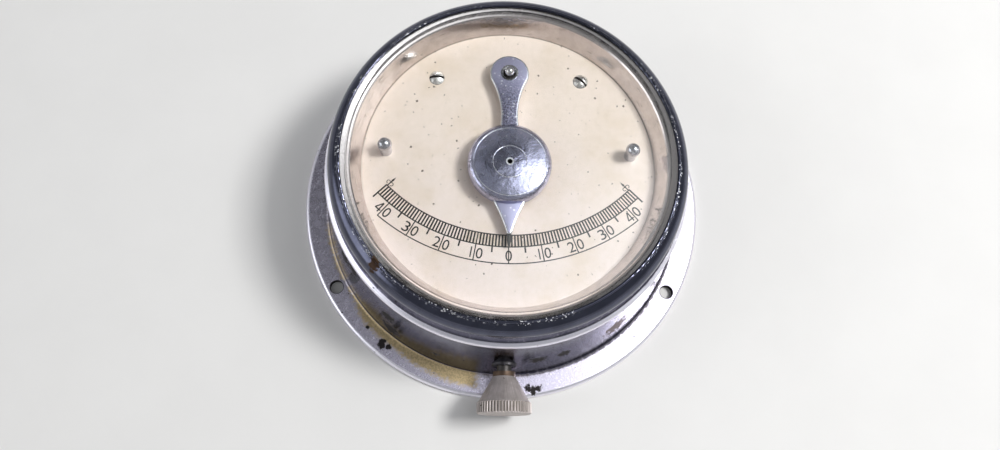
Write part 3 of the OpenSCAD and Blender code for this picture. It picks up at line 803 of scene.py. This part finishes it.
def edit_all():
    """Opens the active piece's mesh with everything selected."""
    bpy.ops.object.mode_set(mode="EDIT")
    bpy.ops.mesh.select_all(action="SELECT")


def plane(size):
    """A new plane about the origin."""
    clear_selection()
    bpy.ops.mesh.primitive_plane_add(size=size, location=(0, 0, 0))
    return bpy.context.object


def outward():
    """Merges doubles and turns the active piece's faces outwards."""
    edit_all()
    bpy.ops.mesh.remove_doubles(threshold=MERGE)
    bpy.ops.mesh.normals_make_consistent(inside=False)
    bpy.ops.object.mode_set(mode="OBJECT")


def slab(width, depth, height, at, turn=0.0):
    """A thin printed bar: a plane cut to size and pulled up to its thickness."""
    piece = plane(1)
    edit_all()
    bpy.ops.transform.resize(value=(width, depth, 1))
    bpy.ops.mesh.extrude_region_move(TRANSFORM_OT_translate={"value": (0, 0, height)})
    bpy.ops.object.mode_set(mode="OBJECT")
    piece.data.transform(Matrix.Translation(at) @ Matrix.Rotation(turn, 4, "Z"))
    outward()
    return piece


def sweep(radius, width, height, centre, start, end, steps):
    """A printed arc: an upright rectangle spun about a centre."""
    piece = plane(1)
    stand = Matrix.Rotation(math.pi / 2, 4, "X") @ Matrix.Diagonal((width, height, 1, 1))
    out = Matrix.Rotation(start, 4, "Z") @ Matrix.Translation((radius, 0, height / 2))
    piece.data.transform(Matrix.Translation(centre) @ out @ stand)
    edit_all()
    bpy.ops.mesh.spin(steps=steps, angle=start - end, center=centre, axis=(0, 0, 1))
    bpy.ops.object.mode_set(mode="OBJECT")
    outward()
    return piece


def copy_of(piece, matrix):
    """A copy with its own mesh, moved by a matrix."""
    twin = piece.copy()
    twin.data = piece.data.copy()
    twin.data.transform(matrix)
    bpy.context.scene.collection.objects.link(twin)
    return twin


def joined(name, parts):
    """Joins parts into one named piece."""
    clear_selection()
    for part in parts:
        part.select_set(True)
    bpy.context.view_layer.objects.active = parts[0]
    bpy.ops.object.join()
    piece = bpy.context.object
    piece.name = piece.data.name = name
    return piece


def finished(piece, body, material):
    """Gives a piece its material and body."""
    piece.data.materials.clear()
    piece.data.materials.append(material)
    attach(piece, body)
    return piece


def about_pivot(degrees, radius, top=0.0):
    """Moves something drawn at the origin to a place on the scale; 0 degrees is straight down."""
    pivot = Matrix.Translation((0, PIVOT_Y, DIAL_FACE + top))
    return pivot @ Matrix.Rotation(math.radians(degrees), 4, "Z") @ Matrix.Translation((0, -radius, 0))


def ink_material(look):
    """The one ink of all printing."""
    return bpy.data.materials.get("dial_ink") or ink(look.ink, "dial_ink")


class CLINOMETER_OT_scale_band(bpy.types.Operator):
    """Prints the ladder band, its ticks and the outer arc"""
    bl_idname = "clinometer.scale_band"
    bl_label = "Scale band"

    def execute(self, context):
        look = context.scene.clinometer_print
        centre = (0, PIVOT_Y, DIAL_FACE)
        down = -math.pi / 2
        ends, outer_ends = math.radians(BAND_END), math.radians(OUTER_ARC_END)
        parts = [
            sweep(radius, width, look.film, centre, down - reach, down + reach, ARC_STEPS)
            for radius, width, reach in (
                (look.band_inner, look.line, ends), (look.band_outer, look.line, ends),
                (look.outer_arc, look.thin_line, outer_ends))]
        rungs = {
            "degree": (look.band_inner, look.band_outer, look.tick),
            "five": (look.band_inner, look.band_outer + look.short_tick, look.tick),
            "ten": (look.band_inner, look.outer_arc, look.thin_line),
        }
        first = {}
        for kind, (start, end, width) in rungs.items():
            first[kind] = slab(width, end - start, look.film, (0, 0, 0))
        for degrees in range(-LAST_DEGREE, LAST_DEGREE + 1):
            kind = "ten" if degrees % 10 == 0 else "five" if degrees % 5 == 0 else "degree"
            start, end, _ = rungs[kind]
            parts.append(copy_of(first[kind], about_pivot(degrees, (start + end) / 2)))
        for kind in first:
            bpy.data.objects.remove(first[kind])
        finished(joined("scale_band", parts), "case", ink_material(look))
        return {"FINISHED"}


class CLINOMETER_OT_numerals(bpy.types.Operator):
    """Prints the numerals, one digit on each side of their line"""
    bl_idname = "clinometer.numerals"
    bl_label = "Numerals"

    def digit(self, mark, look):
        """One digit drawn at the origin, its middle on the origin."""
        bar = DIGIT_BAR * look.digit
        if mark == "1":
            return slab(bar, look.digit, look.film, (0, 0, 0))
        if mark == "4":
            top, foot = Vector((0.10, 0.5)) * look.digit, Vector((-0.30, -0.24)) * look.digit
            lean = top - foot
            middle = (top + foot) / 2
            return joined("four", [
                slab(bar, look.digit, look.film, (0.12 * look.digit, 0, 0)),
                slab(0.62 * look.digit, bar, look.film, (0, -0.24 * look.digit, 0)),
                slab(bar, lean.length, look.film, (middle.x, middle.y, 0), math.atan2(-lean.x, lean.y))])
        clear_selection()
        bpy.ops.object.text_add(location=(0, 0, 0))
        text = bpy.context.object
        text.data.body = mark
        text.data.size = look.digit / CAP_HEIGHT
        text.data.extrude = look.film / 2
        text.data.offset = look.stroke
        text.data.resolution_u = 4
        bpy.ops.object.convert(target="MESH")
        piece = bpy.context.object
        low = [min(v.co[i] for v in piece.data.vertices) for i in range(3)]
        high = [max(v.co[i] for v in piece.data.vertices) for i in range(3)]
        middle = [(low[i] + high[i]) / 2 for i in range(2)]
        wide, tall = high[0] - low[0], high[1] - low[1]
        scale = Matrix.Diagonal((DIGIT_WIDTH[mark] * look.digit / wide, look.digit / tall, 1, 1))
        piece.data.transform(scale @ Matrix.Translation((-middle[0], -middle[1], -low[2])))
        outward()
        return piece

    def execute(self, context):
        look = context.scene.clinometer_print
        digits = {mark: self.digit(mark, look) for mark in "01234"}
        radius = (look.band_outer + look.outer_arc) / 2 + DIGIT_DROP * look.digit
        parts = [copy_of(digits["0"], about_pivot(0, radius))]
        for side in (-1, 1):
            for tens in range(1, 5):
                for mark, share in ((str(tens), -TENS_SHIFT[tens]), ("0", ZERO_SHIFT)):
                    shift = Matrix.Translation((share * look.digit, 0, 0))
                    place = about_pivot(side * 10 * tens, radius) @ shift
                    parts.append(copy_of(digits[mark], place))
        for mark in digits:
            bpy.data.objects.remove(digits[mark])
        finished(joined("scale_numerals", parts), "case", ink_material(look))
        return {"FINISHED"}


class CLINOMETER_OT_ornaments(bpy.types.Operator):
    """Prints the spear and scrolls at each end of the band"""
    bl_idname = "clinometer.ornaments"
    bl_label = "Band ornaments"

    def spear(self, look):
        """A spear that points up from the origin, with a scroll on each side of its foot."""
        reach = look.spear
        shaft = slab(0.10 * reach, 0.6 * reach, look.film, (0, 0.3 * reach, 0))
        clear_selection()
        bpy.ops.mesh.primitive_circle_add(vertices=4, radius=1, fill_type="NGON", location=(0, 0, 0))
        blade = bpy.context.object
        edit_all()
        bpy.ops.mesh.extrude_region_move(TRANSFORM_OT_translate={"value": (0, 0, look.film)})
        bpy.ops.object.mode_set(mode="OBJECT")
        for v in blade.data.vertices:
            is_point = v.co.y > 0.5
            v.co.x *= 0.10 * reach
            v.co.y = reach if is_point else (0.62 + 0.17 * v.co.y) * reach
        outward()
        scrolls = [
            sweep(0.15 * reach, 0.065 * reach, look.film, (side * 0.17 * reach, 0.30 * reach, 0),
                  math.radians(90 + side * 60), math.radians(90 - side * 190), 20)
            for side in (-1, 1)]
        return joined("spear", [shaft, blade] + scrolls)

    def execute(self, context):
        look = context.scene.clinometer_print
        drawn = self.spear(look)
        parts = [copy_of(drawn, about_pivot(side * ORNAMENT_AT, look.band_inner)) for side in (-1, 1)]
        bpy.data.objects.remove(drawn)
        finished(joined("scale_ornaments", parts), "case", ink_material(look))
        return {"FINISHED"}


class CLINOMETER_OT_pendulum_arm(bpy.types.Operator):
    """Bevels the arm's front edge and stands it in for the plain arm"""
    bl_idname = "clinometer.pendulum_arm"
    bl_label = "Pendulum arm"

    def execute(self, context):
        look = context.scene.clinometer_pendulum
        arm = copy_of(NODES["pendulum_arm"], Matrix.Identity(4))
        arm.parent = None
        arm.name = arm.data.name = "pendulum_arm_bevelled"
        for key in list(arm.keys()):
            del arm[key]
        clear_selection()
        arm.select_set(True)
        bpy.context.view_layer.objects.active = arm
        edit_all()
        bpy.ops.mesh.remove_doubles(threshold=MERGE)
        bpy.ops.mesh.dissolve_limited(angle_limit=FLAT_WITHIN)
        bpy.ops.mesh.select_all(action="DESELECT")
        bpy.ops.object.mode_set(mode="OBJECT")
        mesh = arm.data
        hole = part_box("arm_bush")[1].x + CLEAR_OF_BUSH
        pivot = Vector((0, PIVOT_Y))
        bob = Vector((0, BOB_Y))
        faces = {}
        for face in mesh.polygons:
            for key in face.edge_keys:
                faces.setdefault(key, []).append(face.normal)
        for edge in mesh.edges:
            ends = [mesh.vertices[v].co for v in edge.vertices]
            normals = faces[edge.key]
            edge.select = (
                len(normals) == 2 and normals[0].angle(normals[1]) > SHARP_EDGE
                and all(abs(e.z - ARM_FRONT) < ON_FRONT_FACE for e in ends)
                and all((e.xy - pivot).length > hole for e in ends)
                and all((e.xy - bob).length > CLEAR_OF_RIVET for e in ends))
        if not any(edge.select for edge in mesh.edges):
            raise RuntimeError("the arm has no front edge to bevel")
        context.tool_settings.mesh_select_mode = (False, True, False)
        bpy.ops.object.mode_set(mode="EDIT")
        bpy.ops.mesh.bevel(
            offset=look.bevel, offset_type="OFFSET", segments=3, profile=0.62, clamp_overlap=True)
        bpy.ops.mesh.select_all(action="SELECT")
        bpy.ops.mesh.quads_convert_to_tris()
        bpy.ops.object.mode_set(mode="OBJECT")
        bpy.ops.object.shade_smooth_by_angle(angle=SMOOTH_UP_TO)
        finished(arm, "pendulum", satin_metal(look))
        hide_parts("pendulum_arm")
        return {"FINISHED"}


def finish_nodes(materials):
    """Gives CAD nodes their materials."""
    for node, material in materials.items():
        mesh = NODES[node].data
        mesh.materials.clear()
        mesh.materials.append(material)


class CLINOMETER_OT_case_finish(bpy.types.Operator):
    """Finishes the case, its bezel, the reflector, the gasket and the glass"""
    bl_idname = "clinometer.case_finish"
    bl_label = "Case finish"

    def execute(self, context):
        look = context.scene.clinometer_finish
        finish_nodes({
            "case_body": case_metal(look), "bezel_ring": bezel_metal(look),
            "reflector_ring": reflector_metal(look),
            "glass_gasket": gasket_rubber(), "glass": clear_glass(),
        })
        return {"FINISHED"}


class CLINOMETER_OT_dial_finish(bpy.types.Operator):
    """Finishes the dial, its screws, its stop posts and the pillars behind it"""
    bl_idname = "clinometer.dial_finish"
    bl_label = "Dial finish"

    def execute(self, context):
        look = context.scene.clinometer_finish
        small = dict(cloud_mm=1.5, pit_mm=1.4, pit_share=0.2)
        posts = plated("post_plating", (0.62, 0.62, 0.66), (0.45, 0.45, 0.49), 0.10, **small)
        finish_nodes({
            "dial_plate": dial_enamel(look),
            "dial_screws": plated(
                "screw_plating", (0.80, 0.78, 0.76), (0.60, 0.58, 0.56), 0.22,
                slots=DIAL_SCREWS, **small),
            "stop_post_left": posts, "stop_post_right": posts,
            "dial_pillars": turned_metal("pillar_brass", look.brass),
            "pillar_screws": turned_metal("screw_steel", look.steel),
        })
        return {"FINISHED"}


class CLINOMETER_OT_pendulum_finish(bpy.types.Operator):
    """Finishes the bob, the index tip, the arbor and its bearings"""
    bl_idname = "clinometer.pendulum_finish"
    bl_label = "Pendulum finish"

    def execute(self, context):
        metal = context.scene.clinometer_finish
        look = context.scene.clinometer_pendulum
        small = dict(cloud_mm=1.2, pit_mm=1.2, pit_share=0.2)
        hub = (0, PIVOT_Y / MM, 0)
        bob = (0, BOB_Y / MM, 0)
        bearing = turned_metal("bearing_brass", metal.brass, centre=hub)
        finish_nodes({
            "pendulum_arm": bpy.data.materials["arm_satin"],
            "bob": bob_metal(look),
            "bob_rivet": plated(
                "rivet_plating", (0.80, 0.80, 0.84), (0.62, 0.62, 0.66), 0.25, centre=bob,
                recess_shade=(0, 0.95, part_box("bob_rivet")[1].z / MM - 0.15), **small),
            "arm_bush": plated(
                "bush_plating", (0.66, 0.66, 0.69), (0.5, 0.5, 0.53), 0.16, centre=hub,
                recess_shade=(1.55, 2.0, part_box("arm_bush")[1].z / MM - 0.05), **small),
            "index_tip": ink((0.03, 0.028, 0.028), "tip_black"),
            "arbor": turned_metal("arbor_steel", (0.82, 0.81, 0.82), 0.12, centre=hub),
            "rear_bush": bearing, "front_bush": bearing,
            "thrust_washer": turned_metal("washer_steel", metal.steel, centre=hub),
        })
        return {"FINISHED"}


class CLINOMETER_OT_lock_finish(bpy.types.Operator):
    """Finishes the thumbscrew, its bush and the lock arm, with the stem and bush painted dark as shade
    """
    bl_idname = "clinometer.lock_finish"
    bl_label = "Lock screw finish"

    def execute(self, context):
        look = context.scene.clinometer_finish
        along = dict(axis="Y", centre=LOCK_AXIS)
        brass = turned_metal("lock_brass", look.brass, **along)
        steel = turned_metal("lock_steel", look.steel, **along)
        finish_nodes({
            "lock_knob": knob_metal(look),
            "knob_collar": turned_metal("collar_copper", look.copper, 0.48, **along),
            # painted shade: the stem and its bush are much darker copies of steel and plating
            "lock_stem": turned_metal("stem_steel", (0.085, 0.08, 0.078), 0.42, **along),
            "lock_tip": steel, "hub_screw": steel,
            "lock_bush": plated(
                "lock_bush_plating_shaded", (0.08, 0.078, 0.085), (0.05, 0.048, 0.05), 0.34,
                cloud_mm=1.5, pit_mm=1.4, pit_share=0.2),
            "lock_nut": brass, "lock_arm": brass, "lock_hub": brass,
        })
        return {"FINISHED"}


class CLINOMETER_OT_stage(bpy.types.Operator):
    """Sets up the floor, the lamp, the room and the camera"""
    bl_idname = "clinometer.stage"
    bl_label = "Stage"

    def floor(self, look):
        """A wide flat pale floor just under the object."""
        floor = plane(FLOOR_SIZE)
        floor.name = floor.data.name = "floor"
        floor.data.transform(Matrix.Translation((0, 0, -FLOOR_DROP)))
        g = new_material("floor_paper", roughness=0.85)
        point = g.start()["Point"]
        fibre = g.mask("patches", size=40.0, coverage=0.5, softness=0.25)
        g.colour(look.floor, (fibre, scaled(look.floor, 0.97)))
        g.bump(g.noise(point, 1.5, 4), 0.02)
        floor.data.materials.append(g.material)

    def lamp(self, name, power, size, at, towards):
        """A rectangular lamp that faces a point."""
        data = bpy.data.lights.new(name, "AREA")
        data.shape, data.energy = "RECTANGLE", power
        data.size, data.size_y = size
        lamp = bpy.data.objects.new(name, data)
        bpy.context.scene.collection.objects.link(lamp)
        lamp.location = at
        lamp.rotation_euler = (Vector(towards) - Vector(at)).to_track_quat("-Z", "Y").to_euler()

    def camera(self, look):
        """The camera at the picture's angle."""
        tilt, azimuth, roll = look.tilt, look.azimuth, look.roll
        back = Vector((
            math.sin(tilt) * math.sin(azimuth), -math.sin(tilt) * math.cos(azimuth), math.cos(tilt)))
        right = Vector((0, 0, 1)).cross(back).normalized()
        up = back.cross(right)
        right, up = (
            math.cos(roll) * right + math.sin(roll) * up, math.cos(roll) * up - math.sin(roll) * right)
        data = bpy.data.cameras.new("camera")
        data.lens, data.sensor_width, data.clip_start = look.focal, SENSOR_WIDTH, NEAREST_SEEN
        camera = bpy.data.objects.new("camera", data)
        bpy.context.scene.collection.objects.link(camera)
        turn = Matrix((right, up, back)).transposed().to_4x4()
        camera.matrix_world = Matrix.Translation(Vector(look.target) + look.distance * back) @ turn
        bpy.context.scene.camera = camera

    def room(self, look):
        """A dim room, brighter in places overhead and on the left, with a pale horizon."""
        world = bpy.data.worlds.new("room")
        bpy.context.scene.world = world
        world.use_nodes = True
        g = Graph(world.node_tree)
        towards = g.put("TexCoord").outputs["Generated"]
        # a dark area above the far side, two bright ones overhead, and one low on the left
        areas = (
            (-0.96 * look.room, (0.03, 0.42, 0.90), 0.93, 0.985),
            (look.glow, (0.32, 0.10, 0.94), 0.925, 0.995),
            (0.7 * look.glow, (0.50, 0.30, 0.80), 0.93, 0.99),
            (look.side_glow, (-0.93, -0.18, 0.34), 0.88, 0.97),
        )
        light = look.room
        for gain, place, low, high in areas:
            facing = g.vector("DOT_PRODUCT", towards, tuple(Vector(place).normalized()))
            light = g.calc("MULTIPLY_ADD", g.step(facing, low, high), gain, light)
        rise = g.split(towards)[2]
        horizon = g.step(rise, 0.10, 0.26, 1, 0)
        sky = g.tree.nodes["Background"].inputs
        g.feed(sky["Color"], g.blend(horizon, (0.94, 0.96, 1.0), look.floor))
        g.feed(sky["Strength"], g.between(horizon, light, 1.0))

    def execute(self, context):
        look = context.scene.clinometer_stage
        self.floor(look)
        self.lamp("key_softbox", look.key_power, SOFTBOX_SIZE, SOFTBOX_AT, SOFTBOX_AIM)
        self.camera(look)
        self.room(look)
        context.scene.view_settings.view_transform = "Standard"
        return {"FINISHED"}


BUILD_STEPS = (
    CLINOMETER_OT_scale_band, CLINOMETER_OT_numerals, CLINOMETER_OT_ornaments,
    CLINOMETER_OT_pendulum_arm, CLINOMETER_OT_case_finish, CLINOMETER_OT_dial_finish,
    CLINOMETER_OT_pendulum_finish, CLINOMETER_OT_lock_finish, CLINOMETER_OT_stage,
)


class CLINOMETER_PT_panel(bpy.types.Panel):
    """Build steps and sizes of the clinometer"""
    bl_idname = "CLINOMETER_PT_panel"
    bl_label = "Clinometer"
    bl_space_type = "VIEW_3D"
    bl_region_type = "UI"
    bl_category = "Clinometer"

    def draw(self, context):
        for build in BUILD_STEPS:
            self.layout.operator(build.bl_idname)
        for name, settings in SETTINGS.items():
            box = self.layout.box()
            box.label(text=settings.__doc__)
            for key in settings.__annotations__:
                box.prop(getattr(context.scene, name), key)


CLASSES = (*SETTINGS.values(), *BUILD_STEPS, CLINOMETER_PT_panel)


def register():
    """Adds the classes and the scene's settings."""
    for cls in CLASSES:
        bpy.utils.register_class(cls)
    for name, settings in SETTINGS.items():
        setattr(bpy.types.Scene, name, bpy.props.PointerProperty(type=settings))


def unregister():
    """Takes the classes and the scene's settings away."""
    for name in SETTINGS:
        delattr(bpy.types.Scene, name)
    for cls in reversed(CLASSES):
        bpy.utils.unregister_class(cls)


def main():
    """Builds everything in order."""
    register()
    for build in BUILD_STEPS:
        family, name = build.bl_idname.split(".")
        getattr(getattr(bpy.ops, family), name)()


if __name__ == "__main__":
    main()
